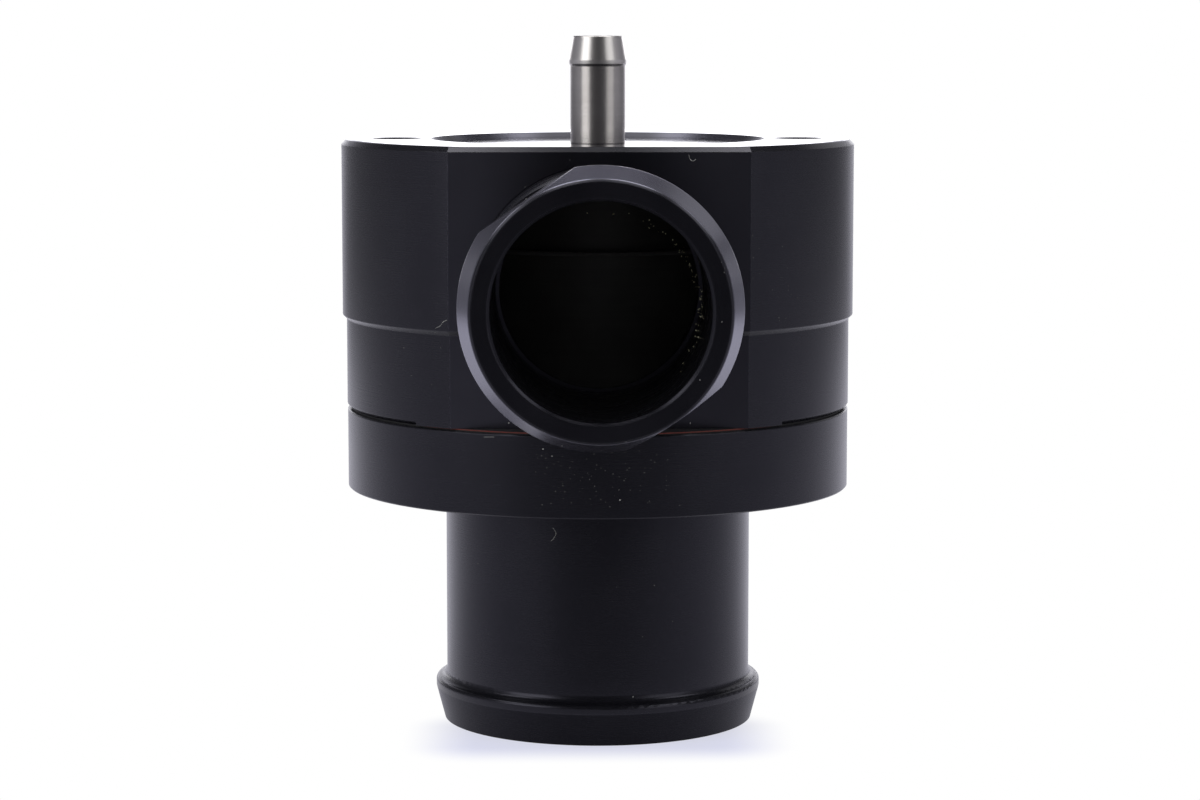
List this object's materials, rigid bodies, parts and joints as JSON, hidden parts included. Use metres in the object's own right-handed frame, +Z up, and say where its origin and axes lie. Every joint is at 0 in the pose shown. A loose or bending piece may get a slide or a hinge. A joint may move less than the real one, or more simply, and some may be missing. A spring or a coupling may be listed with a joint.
{
  "type": "blow off valve",
  "caption": "Round piston blow off valve in black aluminium, with a beaded inlet hose spigot below, a beaded outlet spigot at the front and a steel vacuum nipple on top.",
  "frame": {"origin": "on the valve axis, at the foot of the inlet hose spigot", "axes": "+Z up along the valve axis towards the vacuum nipple, -Y along the outlet spigot, +X to the right seen from the outlet"},
  "size_m": [0.0634, 0.0833, 0.0852],
  "materials": {
    "black_aluminium": "black anodised, fine turned",
    "dark_aluminium": "hard anodised, fine turned",
    "bare_aluminium": "fine turned",
    "bare_steel": "turned, bright",
    "dark_steel": "black oxide",
    "black_rubber": "matte",
    "red_gasket": "matte",
    "white_plastic": "smooth"
  },
  "bodies": {
    "housing": {"valve_body": "black_aluminium", "inlet_flange": "black_aluminium", "flange_gasket": "red_gasket", "outlet_spigot": "black_aluminium", "outlet_seal_ring": "black_rubber", "vacuum_nipple": "bare_steel", "guide_sleeve": "dark_aluminium", "guide_seal_ring": "black_rubber", "guide_band": "white_plastic", "spring_shim": "bare_steel", "return_spring": "bare_steel", "clamp_screws": "dark_steel"},
    "piston": {"piston": "dark_aluminium", "face_seal": "black_rubber", "seal_retainer": "bare_aluminium", "retainer_screw": "bare_steel"}
  },
  "joints": [
    {"name": "piston_slide", "type": "slide", "parent": "housing", "child": "piston", "axis": [0, 0, 1], "range_m": [0, 0.008], "stiffness_N_per_m": 1500, "springref_m": -0.008, "deforming": ["return_spring"]}
  ]
}
